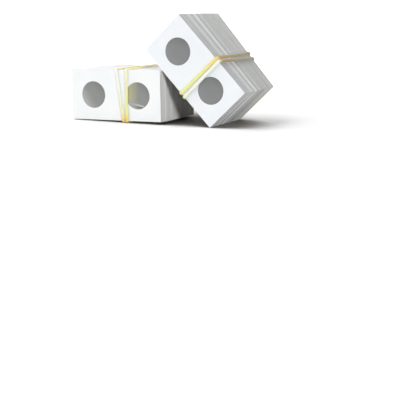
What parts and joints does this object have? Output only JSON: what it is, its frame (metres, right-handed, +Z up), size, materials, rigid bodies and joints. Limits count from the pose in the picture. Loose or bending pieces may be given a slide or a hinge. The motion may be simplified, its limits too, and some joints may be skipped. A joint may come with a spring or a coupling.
{
  "type": "pair of banded packs of coin flips",
  "caption": "Two rubber-banded packs of unfolded white paperboard coin flips with film windows, one on its long edge and one leaning on it",
  "frame": {"origin": "middle of the base of the box round both packs, on the surface that they stand on", "axes": "+X runs to the right along both packs' fronts, +Y runs into the packs from the front flips, +Z is up"},
  "size_m": [0.1442, 0.072, 0.0814],
  "materials": {
    "white_board": "matte",
    "clear_film": "gloss",
    "rubber_band": "satin"
  },
  "bodies": {
    "left_pack": {"left_front_held_board": "white_board", "left_front_held_film": "clear_film", "left_band": "rubber_band", "left_boards_01": "white_board", "left_boards_02": "white_board", "left_boards_03": "white_board", "left_boards_04": "white_board", "left_boards_05": "white_board", "left_boards_06": "white_board", "left_boards_07": "white_board", "left_boards_08": "white_board", "left_boards_09": "white_board", "left_boards_10": "white_board", "left_films_01": "clear_film", "left_films_02": "clear_film", "left_films_03": "clear_film", "left_films_04": "clear_film", "left_films_05": "clear_film", "left_films_06": "clear_film", "left_films_07": "clear_film", "left_films_08": "clear_film", "left_films_09": "clear_film", "left_films_10": "clear_film"},
    "left_leaf": {"left_front_leaf_board": "white_board", "left_front_leaf_film": "clear_film"},
    "right_pack": {"right_front_held_board": "white_board", "right_front_held_film": "clear_film", "right_band": "rubber_band", "right_boards_01": "white_board", "right_boards_02": "white_board", "right_boards_03": "white_board", "right_boards_04": "white_board", "right_boards_05": "white_board", "right_boards_06": "white_board", "right_boards_07": "white_board", "right_boards_08": "white_board", "right_boards_09": "white_board", "right_boards_10": "white_board", "right_films_01": "clear_film", "right_films_02": "clear_film", "right_films_03": "clear_film", "right_films_04": "clear_film", "right_films_05": "clear_film", "right_films_06": "clear_film", "right_films_07": "clear_film", "right_films_08": "clear_film", "right_films_09": "clear_film", "right_films_10": "clear_film"},
    "right_leaf": {"right_front_leaf_board": "white_board", "right_front_leaf_film": "clear_film"}
  },
  "joints": [
    {"name": "left_leaf_fold", "type": "hinge", "parent": "left_pack", "child": "left_leaf", "pos_m": [-0.03343, -0.03515, 0.02033], "axis": [-0.0213, 0, 0.9998], "range_deg": [0, 90], "stiffness_Nm_per_rad": 0.0006},
    {"name": "right_leaf_fold", "type": "hinge", "parent": "right_pack", "child": "right_leaf", "pos_m": [0.03107, -0.03255, 0.04069], "axis": [0.7181, 0, 0.6959], "range_deg": [0, 155], "stiffness_Nm_per_rad": 0.0006},
    {"name": "right_pack_lift", "type": "slide", "parent": "left_pack", "child": "right_pack", "axis": [0, 0, 1], "range_m": [0, 0.06]}
  ]
}
